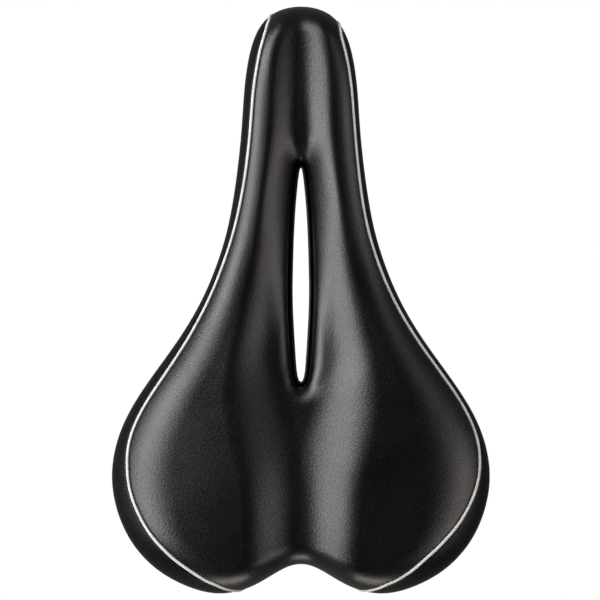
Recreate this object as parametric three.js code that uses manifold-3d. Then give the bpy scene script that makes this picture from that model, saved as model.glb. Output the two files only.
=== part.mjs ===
// Bicycle saddle with a pressure-relief slot: a moulded nylon base with a foam pad, a sewn three-panel
// cover with piping, and two steel rails held to the base by screwed clamp caps.
//
// Millimetres. The origin lies midway between the two rails, at the middle of their straight clamp zone.
// +Y points to the nose, +X to the rider's right and +Z up. Many sizes below are given against s, the
// distance back from the nose tip, or against u, the share of the half outline from nose tip to tail notch.
import * as THREE from "three";
import { mergeVertices } from "three/addons/utils/BufferGeometryUtils.js";
import Module from "manifold-3d";

const wasm = await Module();
wasm.setup();

// ---------- driving dimensions ----------
const CLAMP_S = 150; // from the nose tip back to the middle of the clamp zone

// The right half of the saddle's outline seen from above, as [s, x].
const OUTLINE = [
  [-0.5, 0], [1.1, 9.1], [5.2, 15.8], [12, 20.5], [22, 23.8], [38, 26.2], [60, 27.8], [95, 32.4],
  [115, 37.5], [135, 45.5], [155, 57.2], [175, 71.4], [195, 82.8], [215, 87.4], [232, 85.3],
  [248, 78], [260.5, 66.2], [268, 52.7], [271.4, 37.6], [267.6, 21.7], [260.7, 9.3], [257.8, 0],
];

// The relief slot: a lens, blunter at the rear. Its half width is given as [h, value], where h runs from
// 0 at its front tip to 1 at its rear.
const SLOT = { front: 74.6, rear: 174 };
const slotHalf = through([
  [0, 0], [0.1, 0.8], [0.2, 1.65], [0.3, 2.6], [0.4, 3.3], [0.5, 3.7], [0.55, 3.8], [0.62, 3.55],
  [0.7, 2.95], [0.78, 2.4], [0.85, 1.9], [0.92, 1.2], [1, 0],
]);

// Heights and depths along the saddle, as [s, value].
const crestHeight = through([
  [0, 45.5], [15, 48.5], [40, 50], [85, 50], [125, 50.5], [150, 53], [180, 58.5], [210, 63.5],
  [235, 65.5], [255, 65], [272, 62.5],
]);
const valleyDepth = through([
  [-4, 0], [7, 2.5], [16, 3.6], [30, 4.4], [57, 5], [90, 5.6], [113, 6], [136, 6.6], [159, 7.4],
  [182, 8.6], [201, 9.4], [219, 9], [238, 8.6], [252, 7.6], [264, 6],
]);
const valleyMiddle = through([
  [7, 5.6], [16, 7], [30, 7.8], [57, 8.8], [71, 10.5], [90, 13], [113, 14.5], [136, 18], [150, 20.5],
  [159, 22.3], [168, 22.8], [182, 21], [201, 17], [219, 14.5], [252, 14],
]);
const valleyHalf = through([
  [7, 5.6], [16, 7], [30, 7.4], [57, 7.2], [90, 7], [113, 8.5], [136, 10], [150, 10.5], [159, 11.3],
  [168, 12.3], [182, 15.8], [201, 17], [219, 14.5], [252, 13],
]);
const wingDroop = through([[120, 0], [180, 6.5], [230, 9], [272, 6.5]]);

// The top rolls down towards the slot: how deep, how far from the middle line the roll starts, and how
// far ahead of its deepest point each station of it lies.
const rollDepth = through([
  [50, 10], [64, 12], [78, 12.8], [89, 15.7], [95, 16.3], [109, 15.6], [124, 17], [140, 16.9],
  [164.5, 11.8], [174, 7.5], [190, 7],
]);
const rollEdge = through([
  [50, 13.2], [78, 13.8], [95, 14.9], [109, 15.5], [124, 15.8], [140, 15.6], [164.5, 15.45],
  [174, 13.8], [190, 13.5],
]);
const rollOffset = through([
  [48, 14.5], [53.5, 12.8], [57.5, 10.7], [61.5, 8.2], [65.5, 5.9], [68.5, 4.4], [72.5, 2.8], [76.5, 1.7], [81.5, 0.6], [87, 0],
  [166, 0], [172, 0.3], [176, 2.2], [182, 8], [188, 14], [190, 16],
]);
const DROOP_FROM = 22;
const DROOP_OVER = 65;
const shellHeight = through([
  [0, 35], [80, 35], [125, 34.5], [150, 36], [180, 40], [215, 45], [245, 47], [272, 47],
]);

// Sizes round the edge, as [u, value].
const edgeReach = through([
  [0, 13], [0.12, 14], [0.3, 15], [0.38, 16], [0.48, 20], [0.58, 26], [0.66, 29], [0.73, 28],
  [0.8, 22], [0.86, 16], [0.9, 13], [0.95, 11], [1, 11],
]);
const edgeDrop = through([
  [0, 13], [0.12, 12], [0.3, 12.5], [0.48, 14], [0.58, 14.5], [0.66, 14], [0.73, 13.5], [0.8, 14.5],
  [0.88, 15], [0.95, 13], [1, 11],
]);
const rimHeight = through([
  [0, 26], [0.07, 24], [0.2, 24], [0.38, 28.5], [0.48, 31], [0.58, 33.5], [0.66, 35], [0.8, 39.5],
  [0.89, 43], [1, 44],
]);
const foldReach = through([
  [0, 11.5], [0.06, 11], [0.13, 10], [0.21, 10], [0.27, 15], [0.36, 17], [0.62, 17], [0.72, 15], [1, 15],
]);

// The two seams between the top and side panels: where each starts, and its line as [u, v]; coverPoint
// gives the meaning of v. The left one is sewn a little further in over the nose and the wing.
const RIGHT_SEAM = {
  from: 0.035,
  line: through([
    [0.032, 7], [0.038, 5.5], [0.044, 4.3], [0.051, 3.2], [0.059, 2.8], [0.072, 2.6], [0.09, 2.55],
    [0.12, 2.548], [0.16, 2.562], [0.2, 2.569], [0.25, 2.55], [0.3, 2.534], [0.38, 2.55],
    [0.43, 2.568], [0.52, 2.575], [0.575, 2.563], [0.62, 2.499], [0.66, 2.367], [0.7, 2.232],
    [0.733, 2.138], [0.77, 2.068], [0.8, 2.067], [0.82, 2.1], [0.84, 2.18], [0.87, 2.323],
    [0.89, 2.459], [0.915, 2.9], [0.93, 3.6], [0.945, 5.3], [0.95, 6],
  ]),
};
const LEFT_SEAM = {
  from: 0.021,
  line: through([
    [0.018, 7], [0.024, 5.5], [0.03, 4.3], [0.037, 3.2], [0.045, 2.75], [0.055, 2.57], [0.07, 2.46],
    [0.09, 2.422], [0.12, 2.414], [0.16, 2.436], [0.25, 2.452], [0.3, 2.493], [0.34, 2.527],
    [0.38, 2.538], [0.43, 2.517], [0.475, 2.465], [0.52, 2.414], [0.575, 2.378], [0.62, 2.322],
    [0.66, 2.218], [0.7, 2.156], [0.733, 2.11], [0.77, 2.094], [0.8, 2.105], [0.84, 2.186],
    [0.87, 2.323], [0.89, 2.459], [0.915, 2.9], [0.93, 3.6], [0.945, 5.3], [0.95, 6],
  ]),
};
const SEAM = { to: 0.948, steps: 56, dive: 2.7, diveShare: 3 };

const COVER = { thick: 1.2, foamGap: 1.3, slotLow: 1.6, slotZone: 11.5 };
const EDGE_ZONE = 12; // the band along the outline where sections run square to it
const SHELL = { inset: 6, bend: 20, power: 1.4, thick: 3.2, slotGap: 3.4, underCover: 0.75 };
const GAP = 0.3; // between pieces that touch
const PIPING = { radius: 0.9, sink: 0.25, sides: 6 };

const RAIL = { radius: 3.5, gauge: 43.5, sides: 16, corner: 12, cornerSteps: 5 };
const NOSE_SOCKET = { x: 8.5, z: 24.5, sFront: 40, sRear: 60 };
const REAR_SOCKET = { x: 38, z: 33, sFront: 226, sRear: 245 };
const CLAMP_CORNERS = { front: 105, rear: 195 };
const CAP = { below: 6.6, noseHalf: 13.8, rearHalf: 13.5, corner: 3 };
const SCREW = { shank: 2, head: 3.8, headHigh: 2.6, recess: 1.6, into: 9, sides: 12, offset: 9 };
const GEL = { s: 213, x: 47, halfLong: 30, halfWide: 21, thick: 6 };
const TRIM = { wall: 1.2, flange: 6.6, flangeThick: 1.6, collarUp: 4.5 };
const RIB = { deep: 3.4, thick: 2 };

// Where sections are cut round the half outline.
const STATIONS = [
  0, 0.018, 0.034, 0.05, 0.07, 0.1, 0.15, 0.21, 0.27, 0.33, 0.39, 0.445, 0.5, 0.55, 0.6, 0.645,
  0.685, 0.725, 0.765, 0.805, 0.845, 0.88, 0.91, 0.93, 0.95, 0.975, 1,
];

// ---------- small maths ----------
/** Smooth curve through [position, value] knots, held level outside them. */
function through(knots) {
  const last = knots.length - 1;
  const slopes = knots.map((_, i) => {
    const [a, b] = [knots[Math.max(0, i - 1)], knots[Math.min(last, i + 1)]];
    return (b[1] - a[1]) / (b[0] - a[0]);
  });
  return (at) => {
    if (at <= knots[0][0]) return knots[0][1];
    if (at >= knots[last][0]) return knots[last][1];
    const i = knots.findIndex((k) => k[0] > at) - 1;
    const span = knots[i + 1][0] - knots[i][0];
    const t = (at - knots[i][0]) / span;
    const [t2, t3] = [t * t, t * t * t];
    return (
      (2 * t3 - 3 * t2 + 1) * knots[i][1] +
      (t3 - 2 * t2 + t) * span * slopes[i] +
      (3 * t2 - 2 * t3) * knots[i + 1][1] +
      (t3 - t2) * span * slopes[i + 1]
    );
  };
}

const clamp01 = (t) => Math.min(1, Math.max(0, t));
const smooth = (t) => clamp01(t) ** 2 * (3 - 2 * clamp01(t));
const lerp = THREE.MathUtils.lerp;
const sOf = (y) => CLAMP_S - y;
const vec = (x, y, z) => new THREE.Vector3(x, y, z);

// ---------- plan view ----------
const rightSide = OUTLINE.map(([s, x]) => vec(x, CLAMP_S - s, 0));
const leftSide = rightSide.slice(1, -1).reverse().map((p) => vec(-p.x, p.y, 0));
const outlineCurve = new THREE.CatmullRomCurve3([...rightSide, ...leftSide], true, "centripetal");
outlineCurve.arcLengthDivisions = 4000;

const OUTLINE_STEPS = 360;
const outlineSamples = Array.from({ length: OUTLINE_STEPS + 1 }, (_, i) =>
  outlineCurve.getPointAt(i / OUTLINE_STEPS / 2),
);

/** Point and inward normal of the right half outline at u. */
function outlineAt(u) {
  const point = outlineCurve.getPointAt(u / 2);
  const tangent = outlineCurve.getTangentAt(u / 2);
  return { point, inward: vec(tangent.y, -tangent.x, 0) };
}

/** Distance from a point of the right half to the outline, and the u of the nearest outline point. */
function edgeDistance(x, y) {
  let best = { q: Infinity, u: 0 };
  for (let i = 0; i < OUTLINE_STEPS; i++) {
    const [a, b] = [outlineSamples[i], outlineSamples[i + 1]];
    const [dx, dy] = [b.x - a.x, b.y - a.y];
    const t = clamp01(((x - a.x) * dx + (y - a.y) * dy) / (dx * dx + dy * dy));
    const q = Math.hypot(x - a.x - t * dx, y - a.y - t * dy);
    if (q < best.q) best = { q, u: (i + t) / OUTLINE_STEPS };
  }
  return best;
}

/** Point on the slot's right edge, grown outwards by e. h runs from 0 at its front tip to 1 at its rear. */
function slotPoint(h, e) {
  const lens = (share) => {
    const reach = (SLOT.rear - SLOT.front) / 2;
    const s = (SLOT.front + SLOT.rear) / 2 - reach * Math.cos(Math.PI * share);
    return vec(slotHalf(share), CLAMP_S - s, 0);
  };
  const step = 1e-3;
  if (h < step) return lens(0).add(vec(0, e, 0));
  if (h > 1 - step) return lens(1).add(vec(0, -e, 0));
  const along = lens(h + step / 2).sub(lens(h - step / 2)).normalize();
  return lens(h).add(vec(-along.y, along.x, 0).multiplyScalar(e));
}

/** The slot's h that faces outline position u. */
function slotShare(u) {
  const s = sOf(outlineAt(u).point.y);
  return 0.3 * u + 0.7 * clamp01((s - 50) / 150);
}

// ---------- surfaces ----------
/** Height of the cover's top at (x, y), where q is its distance from the outline. */
function coverTop(x, y, q, u) {
  const [s, across] = [sOf(y), Math.abs(x)];
  const wall = (across - valleyMiddle(s) + valleyHalf(s)) / (2 * valleyHalf(s));
  const droop = wingDroop(s) * (Math.max(0, across - DROOP_FROM) / DROOP_OVER) ** 2;
  const inward = clamp01(q / edgeReach(u));
  const round = edgeDrop(u) * (1 - Math.sqrt(1 - (1 - inward) ** 2));
  const away = Math.hypot(across, rollOffset(s)) / rollEdge(s);
  const roll = rollDepth(s) * (1 - clamp01(away)) ** 3;
  return crestHeight(s) - valleyDepth(s) * (1 - smooth(wall)) - droop - round - roll;
}

/** Sets a point of the right half to the height of the cover's top there. */
function onTop(at) {
  const edge = edgeDistance(at.x, at.y);
  at.z = coverTop(at.x, at.y, edge.q, edge.u);
  return at;
}

/** Height of the base shell's top face. */
function shellTop(y, q, u) {
  const rise = 1 - (1 - clamp01((q - SHELL.inset) / SHELL.bend)) ** SHELL.power;
  return rimHeight(u) + (shellHeight(sOf(y)) - rimHeight(u)) * rise;
}

/** Sets a point of the right half to the height of the shell's top face there, plus dz. */
function onShell(at, dz) {
  const near = edgeDistance(at.x, at.y);
  at.z = shellTop(at.y, near.q, near.u) + dz;
  return at;
}

/** Square-to-the-outline point at distance q in from the outline at u, at height z(point). */
function edgePoint(u, q, height) {
  const { point, inward } = outlineAt(u);
  const at = point.clone().addScaledVector(inward, q);
  at.z = height(at);
  return at;
}

/** The cover's fold under the rim: the shell's underside moved off it by the cover and its gap. */
function foldPoint(u, q) {
  const step = 0.01;
  const { point, inward } = outlineAt(u);
  const y = point.y + inward.y * q;
  const slope = (shellTop(y, q + step, u) - shellTop(y, q, u)) / step;
  const off = (COVER.thick + SHELL.underCover) / Math.hypot(1, slope);
  return edgePoint(u, q + off * slope, () => shellTop(y, q, u) - SHELL.thick - off);
}

/**
 * The cover's outer face. u runs round the half outline; v runs from the slot's lower edge (0) over the
 * slot's lip (1), the top (2), the widest line (3) and the rim (4) to the free edge of the fold (5).
 */
function coverPoint(u, v) {
  const h = slotShare(u);
  if (v < 1) {
    const at = onTop(slotPoint(h, lerp(COVER.slotLow, COVER.slotZone, v)));
    const foot = onTop(slotPoint(h, COVER.slotLow));
    const fall = foot.z - (shellHeight(sOf(foot.y)) - SHELL.thick + GAP);
    at.z -= fall * (1 - v) ** 16;
    return at;
  }
  if (v < 2) {
    const { point, inward } = outlineAt(u);
    const inner = slotPoint(h, COVER.slotZone);
    return onTop(inner.lerp(point.addScaledVector(inward, EDGE_ZONE), v - 1));
  }
  if (v <= 3) {
    const turn = Math.acos(1 - EDGE_ZONE / edgeReach(u)) || Math.PI / 2;
    const q = edgeReach(u) * (1 - Math.cos(turn * (3 - v)));
    return edgePoint(u, Math.min(q, EDGE_ZONE), (p) => coverTop(p.x, p.y, q, u));
  }
  const widest = edgePoint(u, 0, (p) => coverTop(p.x, p.y, 0, u));
  const low = rimHeight(u) - SHELL.thick - COVER.thick - SHELL.underCover;
  if (v <= 4) {
    const t = v - 3;
    const side = new THREE.CubicBezierCurve(
      new THREE.Vector2(0, widest.z),
      new THREE.Vector2(0, lerp(widest.z, low, 0.6)),
      new THREE.Vector2(SHELL.inset - 3.4, low),
      new THREE.Vector2(SHELL.inset, low),
    ).getPoint(t);
    return edgePoint(u, side.x, () => side.y);
  }
  const start = edgePoint(u, SHELL.inset, () => low);
  const [first, end] = [SHELL.inset + 3, foldReach(u)];
  const t = (v - 4) * 4;
  if (t < 1) return start.lerp(foldPoint(u, first), t);
  return foldPoint(u, lerp(first, end, (t - 1) / 3));
}

/** Outward normal of the cover's outer face. */
function coverNormal(u, v) {
  const [du, dv] = [1e-3, 1e-2];
  const [u0, u1] = [Math.max(0, u - du), Math.min(1, u + du)];
  const [v0, v1] = [Math.max(0, v - dv), v + dv];
  const along = coverPoint(u1, v).sub(coverPoint(u0, v));
  const across = coverPoint(u, v1).sub(coverPoint(u, v0));
  if (u === 0 || u === 1) along.set(u === 0 ? 1 : -1, 0, 0);
  return along.cross(across).normalize();
}

/** Point at a depth under the cover's outer face. */
function underCover(u, v, depth) {
  return coverPoint(u, v).addScaledVector(coverNormal(u, v), -depth);
}

// ---------- mesh helpers ----------
function geometryOf(points, triangles) {
  const geometry = new THREE.BufferGeometry().setFromPoints(points);
  geometry.setIndex(triangles.flat());
  return geometry;
}

function solidOf(geometry) {
  const bare = geometry.clone();
  bare.deleteAttribute("normal");
  bare.deleteAttribute("uv");
  const merged = mergeVertices(bare, 1e-4);
  return new wasm.Manifold(
    new wasm.Mesh({
      numProp: 3,
      vertProperties: new Float32Array(merged.attributes.position.array),
      triVerts: new Uint32Array(merged.index.array),
    }),
  );
}

function geometryFrom(solid) {
  const mesh = solid.getMesh();
  const points = [];
  for (let i = 0; i < mesh.numVert; i++) {
    points.push(vec(...mesh.vertProperties.subarray(i * mesh.numProp, i * mesh.numProp + 3)));
  }
  return geometryOf(points, [Array.from(mesh.triVerts)]);
}

/** A solid swept by a closed loop of points: loops[i][j]. closed joins the last loop to the first. */
function sweptSolid(loops, closed) {
  const [rows, width] = [loops.length, loops[0].length];
  const at = (i, j) => (i % rows) * width + (j % width);
  const triangles = [];
  for (let i = 0; i < (closed ? rows : rows - 1); i++) {
    for (let j = 0; j < width; j++) {
      triangles.push([at(i, j), at(i + 1, j), at(i + 1, j + 1)]);
      triangles.push([at(i, j), at(i + 1, j + 1), at(i, j + 1)]);
    }
  }
  if (!closed) {
    for (let j = 0; j < width / 2 - 1; j++) {
      const k = width - 1 - j;
      triangles.push([at(0, j), at(0, j + 1), at(0, k - 1)], [at(0, j), at(0, k - 1), at(0, k)]);
      const e = (n) => (rows - 1) * width + n;
      triangles.push([e(j), e(k - 1), e(j + 1)], [e(j), e(k), e(k - 1)]);
    }
  }
  const faces = triangles.filter(([a, b, c]) => a !== b && b !== c && a !== c);
  const points = loops.flat();
  const volume = faces.reduce(
    (sum, [a, b, c]) => sum + points[a].dot(vec(0, 0, 0).crossVectors(points[b], points[c])),
    0,
  );
  const outward = volume > 0 ? faces : faces.map(([a, b, c]) => [a, c, b]);
  return geometryOf(points, outward);
}

/** A solid that runs all the way round the saddle, from its right-half section at each station. */
function ringSolid(section, stations = STATIONS) {
  const right = stations.map((u) => section(u));
  for (const loop of [right[0], right.at(-1)]) {
    for (const p of loop) p.x = 0;
  }
  const left = right.slice(1, -1).reverse().map((loop) => loop.map((p) => vec(-p.x, p.y, p.z)));
  return sweptSolid([...right, ...left], true);
}

function mirrored(geometry) {
  const other = geometry.clone().scale(-1, 1, 1);
  const index = Array.from(other.index.array);
  for (let i = 0; i < index.length; i += 3) {
    [index[i + 1], index[i + 2]] = [index[i + 2], index[i + 1]];
  }
  return other.setIndex(index);
}

function boxAt(x0, x1, y0, y1, z0, z1) {
  const box = new THREE.BoxGeometry(x1 - x0, y1 - y0, z1 - z0);
  return box.translate((x0 + x1) / 2, (y0 + y1) / 2, (z0 + z1) / 2);
}

/** A block with rounded corners in plan. */
function roundedBlock(halfX, halfY, z0, z1, corner) {
  const shape = new THREE.Shape();
  const [x, y] = [halfX - corner, halfY - corner];
  shape.absarc(x, y, corner, 0, Math.PI / 2);
  shape.absarc(-x, y, corner, Math.PI / 2, Math.PI);
  shape.absarc(-x, -y, corner, Math.PI, 1.5 * Math.PI);
  shape.absarc(x, -y, corner, 1.5 * Math.PI, 2 * Math.PI);
  const options = { depth: z1 - z0, bevelEnabled: false, curveSegments: 3 };
  return new THREE.ExtrudeGeometry(shape, options).translate(0, 0, z0);
}

function cylinderAt(radius, x, y, z0, z1, sides = SCREW.sides) {
  const cylinder = new THREE.CylinderGeometry(radius, radius, z1 - z0, sides);
  return cylinder.rotateX(Math.PI / 2).translate(x, y, (z0 + z1) / 2);
}

const union = (geometries) => geometries.map(solidOf).reduce((a, b) => a.add(b));

// ---------- soft parts ----------
const WALL_NODES = [0, 0.06, 0.15, 0.32, 0.6];
const TOP_NODES = [1, 1.33, 1.67, 2];
const SIDE_NODES = [2.35, 2.7, 3, 3.4, 3.75, 4, 4.3, 5];

/** The whole cover, before it is cut along its seams. */
function coverSkin() {
  return ringSolid((u) => {
    const nodes = [...WALL_NODES, ...TOP_NODES, ...SIDE_NODES];
    const outer = nodes.map((v) => coverPoint(u, v));
    const inner = nodes.map((v) => underCover(u, v, COVER.thick)).reverse();
    return [...outer, ...inner];
  });
}

/** A bar along a path. Its section's points are [across, up], with up towards upAt(i). */
function bar(path, section, upAt = () => vec(0, 0, 1)) {
  const loops = path.map((p, i) => {
    const tangent = path[Math.min(path.length - 1, i + 1)].clone().sub(path[Math.max(0, i - 1)]);
    const across = tangent.clone().cross(upAt(i)).normalize();
    const up = across.clone().cross(tangent).normalize();
    return section.map(([a, b]) => p.clone().addScaledVector(across, a).addScaledVector(up, b));
  });
  return sweptSolid(loops, false);
}

/** A regular section with flat faces above and below, each its radius from the middle. */
function roundSection(radius, sides) {
  const corner = radius / Math.cos(Math.PI / sides);
  return Array.from({ length: sides }, (_, k) => {
    const angle = (2 * Math.PI * (k + 0.5)) / sides + (sides % 4 ? Math.PI / 2 : 0);
    return [corner * Math.cos(angle), corner * Math.sin(angle)];
  });
}

/** Stations spaced along a seam by its length, closer together where it dives under the edge. */
function seamStations(seam) {
  const fine = Array.from({ length: 801 }, (_, i) => lerp(seam.from, SEAM.to, i / 800));
  const points = fine.map((u) => coverPoint(u, seam.line(u)));
  const reached = [0];
  for (let i = 1; i < fine.length; i++) {
    const share = seam.line(fine[i]) > SEAM.dive ? SEAM.diveShare : 1;
    reached.push(reached[i - 1] + share * points[i].distanceTo(points[i - 1]));
  }
  return Array.from({ length: SEAM.steps + 1 }, (_, k) => {
    const wanted = (reached.at(-1) * k) / SEAM.steps;
    return fine[reached.findIndex((length) => length >= wanted - 1e-9)];
  });
}

/** A bar along a seam on the right-hand side, short of the seam's ends by some stations. */
function seamBar(seam, section, short = 0) {
  const stations = seamStations(seam).slice(short, SEAM.steps + 1 - short);
  const at = (u) => underCover(u, seam.line(u), PIPING.sink);
  const outward = (i) => coverNormal(stations[i], seam.line(stations[i]));
  return bar(stations.map(at), section, outward);
}

/** A piping's bead, which stops short of the cover's free edge at both ends. */
const piping = (seam) => seamBar(seam, roundSection(PIPING.radius, PIPING.sides), 3);

/** The cover cut along its seams, as [right side panel, top panel, left side panel]. */
function coverPanels() {
  const half = PIPING.radius / Math.cos(Math.PI / PIPING.sides) + GAP;
  const groove = (seam) => seamBar(seam, [[-half, -3], [half, -3], [half, 3], [-half, 3]]);
  const right = solidOf(groove(RIGHT_SEAM));
  const left = solidOf(mirrored(groove(LEFT_SEAM)));
  const cut = solidOf(coverSkin()).subtract(right).subtract(left);
  const middle = ({ min, max }) => min[0] + max[0];
  const panels = cut.decompose().sort((a, b) => middle(b.boundingBox()) - middle(a.boundingBox()));
  return panels.map(geometryFrom);
}

/** Depth of the foam's face under the cover's outer face. */
const FOAM_DEPTH = COVER.thick + COVER.foamGap;

/** Distances in from the outline at which the shell and the foam's underside are cut. */
const SHELL_NODES = [0, 3.5, 9].map((q) => SHELL.inset + q);

/** The shell's top from its rim to its slot, moved by dz and off the slot's wall by slotExtra. */
function shellRun(u, dz, slotExtra = 0) {
  const edge = SHELL_NODES.map((q) => edgePoint(u, q, (p) => shellTop(p.y, q, u) + dz));
  const slot = slotPoint(slotShare(u), SHELL.slotGap + slotExtra);
  const inner = [0.35, 0.7, 1].map((t) => onShell(edge.at(-1).clone().lerp(slot, t), dz));
  return [...edge, ...inner];
}

function foamBody() {
  return ringSolid((u) => {
    const nodes = [0.055, ...WALL_NODES.slice(2), ...TOP_NODES, 2.35, 2.7, 3, 3.4];
    const outer = nodes.map((v) => underCover(u, v, FOAM_DEPTH));
    const floor = shellRun(u, GAP, 0.2);
    const lip = outer.at(-1);
    lip.z = Math.max(lip.z, floor[0].z + 0.8);
    outer[0].z = Math.max(outer[0].z, floor.at(-1).z + 0.8);
    return [...outer, ...floor];
  });
}

/** The gel pad's outline, grown by e, as an upright prism. */
function gelPrism(e) {
  const shape = new THREE.Shape();
  shape.absellipse(GEL.x, CLAMP_S - GEL.s, GEL.halfWide + e, GEL.halfLong + e, 0, 2 * Math.PI);
  const options = { depth: 60, bevelEnabled: false, curveSegments: 14 };
  return solidOf(new THREE.ExtrudeGeometry(shape, options).translate(0, 0, 20));
}

/** The layer of the pad between two depths under the cover. */
function padLayer(from, to) {
  return solidOf(
    ringSolid((u) => {
      const outer = TOP_NODES.map((v) => underCover(u, v, from));
      const inner = TOP_NODES.map((v) => underCover(u, v, to)).reverse();
      return [...outer, ...inner];
    }),
  );
}

function gelPad() {
  return geometryFrom(gelPrism(0).intersect(padLayer(FOAM_DEPTH, FOAM_DEPTH + GEL.thick)));
}

function foamPad() {
  const pocket = gelPrism(GAP).intersect(padLayer(FOAM_DEPTH - 1, FOAM_DEPTH + GEL.thick + GAP));
  const other = solidOf(mirrored(geometryFrom(pocket)));
  return geometryFrom(solidOf(foamBody()).subtract(pocket).subtract(other));
}

// ---------- rails ----------
/** The right rail's path, nose end first, with rounded corners and both ends moved out by beyond. */
function railPath(beyond) {
  const half = RAIL.gauge / 2;
  const turns = [
    vec(NOSE_SOCKET.x, CLAMP_S - NOSE_SOCKET.sFront + beyond, NOSE_SOCKET.z),
    vec(NOSE_SOCKET.x, CLAMP_S - NOSE_SOCKET.sRear, NOSE_SOCKET.z),
    vec(half, CLAMP_S - CLAMP_CORNERS.front, 0),
    vec(half, CLAMP_S - CLAMP_CORNERS.rear, 0),
    vec(REAR_SOCKET.x, CLAMP_S - REAR_SOCKET.sFront, REAR_SOCKET.z),
    vec(REAR_SOCKET.x, CLAMP_S - REAR_SOCKET.sRear - beyond, REAR_SOCKET.z),
  ];
  const towards = (a, b) => a.clone().addScaledVector(b.clone().sub(a).normalize(), RAIL.corner);
  const corners = turns.slice(1, -1).flatMap((turn, i) => {
    const curve = new THREE.QuadraticBezierCurve3(
      towards(turn, turns[i]), turn, towards(turn, turns[i + 2]),
    );
    return curve.getPoints(RAIL.cornerSteps);
  });
  return [turns[0], ...corners, turns.at(-1)];
}

function rail(clearance = 0) {
  return bar(railPath(clearance), roundSection(RAIL.radius + clearance, RAIL.sides));
}

// ---------- clamp caps and screws ----------
/** One socket: where its cap sits, how wide it is, and where its screws go. */
function socket(place, x, halfX, screws) {
  const middle = CLAMP_S - (place.sFront + place.sRear) / 2;
  const halfY = (place.sRear - place.sFront) / 2 + 1.5;
  return { x, y: middle, z: place.z, halfX, halfY, screws };
}

const SOCKETS = {
  nose: socket(NOSE_SOCKET, 0, CAP.noseHalf, [[0, 5.4], [0, -5.4]]),
  rear: socket(REAR_SOCKET, REAR_SOCKET.x, CAP.rearHalf, [[-SCREW.offset, 0], [SCREW.offset, 0]]),
};

const bothRails = () => union([rail(GAP), mirrored(rail(GAP))]);

function clampCap(place) {
  const { x, y, z, halfX, halfY } = place;
  const block = roundedBlock(halfX, halfY, z - CAP.below, z - GAP / 2, CAP.corner);
  let solid = solidOf(block.translate(x, y, 0)).subtract(bothRails());
  for (const [dx, dy] of place.screws) {
    const hole = cylinderAt(SCREW.shank + GAP, x + dx, y + dy, z - CAP.below - 1, z + 1);
    solid = solid.subtract(solidOf(hole));
  }
  return geometryFrom(solid);
}

function crossRecess(z0, z1) {
  const [arm, half] = [2.3, 0.55];
  return union([boxAt(-arm, arm, -half, half, z0, z1), boxAt(-half, half, -arm, arm, z0, z1)]);
}

/** A pan-head screw driven upwards, its head's seat at z = 0. */
function screwBody() {
  const { shank, head, headHigh, recess, into } = SCREW;
  const profile = [
    [0, into + CAP.below], [shank - 0.5, into + CAP.below], [shank, into + CAP.below - 1.5],
    [shank, 0], [head, 0], [head, -headHigh * 0.5], [head * 0.72, -headHigh], [0, -headHigh],
  ].map(([r, z]) => new THREE.Vector2(r, z));
  const body = new THREE.LatheGeometry(profile.reverse(), SCREW.sides).rotateX(Math.PI / 2);
  const solid = solidOf(body).subtract(crossRecess(-headHigh - 1, recess - headHigh));
  return geometryFrom(solid);
}

const screwAt = (place, [dx, dy]) =>
  screwBody().translate(place.x + dx, place.y + dy, place.z - CAP.below - GAP);

// ---------- base shell ----------
function shellSlab(topDz, bottomDz) {
  return solidOf(ringSolid((u) => [...shellRun(u, topDz), ...shellRun(u, bottomDz).reverse()]));
}

/** Upright walls whose overlap with a slab under the shell makes its ribs. */
function ribWalls() {
  const half = RIB.thick / 2;
  const spokes = [
    { x: 50, s: 188, turn: 0.5, long: 30 }, { x: 54, s: 212, turn: 0.05, long: 40 },
    { x: 22, s: 206, turn: -0.2, long: 26 }, { x: 30, s: 222, turn: 0, long: 34 },
    { x: 26, s: 152, turn: 0.45, long: 30 }, { x: 17, s: 92, turn: 0.3, long: 12 },
    { x: 19, s: 114, turn: 0.35, long: 18 },
  ].map(({ x, s, turn, long }) => {
    const wall = boxAt(-long / 2, long / 2, -half, half, 0, 70);
    return wall.rotateZ(-turn).translate(x, CLAMP_S - s, 0);
  });
  const keel = boxAt(-half, half, CLAMP_S - 232, CLAMP_S - 186, 0, 70);
  return union([...spokes, ...spokes.map(mirrored), keel]);
}

/** The raised kerb round the slot on the shell's underside. */
function slotKerb() {
  const loop = (u, e, dz) => onShell(slotPoint(slotShare(u), e), dz);
  const [inner, outer] = [TRIM.flange + 1, TRIM.flange + 1 + RIB.thick];
  const low = -SHELL.thick - RIB.deep;
  return solidOf(
    ringSolid((u) => [loop(u, inner, -1), loop(u, outer, -1), loop(u, outer, low), loop(u, inner, low)]),
  );
}

/** The pad over a socket, from the rails' centre line up into the shell, before the shell trims it. */
function socketBoss({ x, y, z, halfX, halfY }) {
  return solidOf(roundedBlock(halfX, halfY, z + GAP / 2, z + 30, CAP.corner).translate(x, y, 0));
}

/** The space inside the cover's fold and outside the slot trim, where the shell has ribs and bosses. */
function ribRoom() {
  return solidOf(
    ringSolid((u) => {
      const fold = edgePoint(u, foldReach(u) + 1.4, () => 0);
      const slot = slotPoint(slotShare(u), TRIM.flange + 0.6);
      const raised = (p) => p.clone().setZ(70);
      return [fold, raised(fold), raised(slot), slot];
    }),
  );
}

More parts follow.
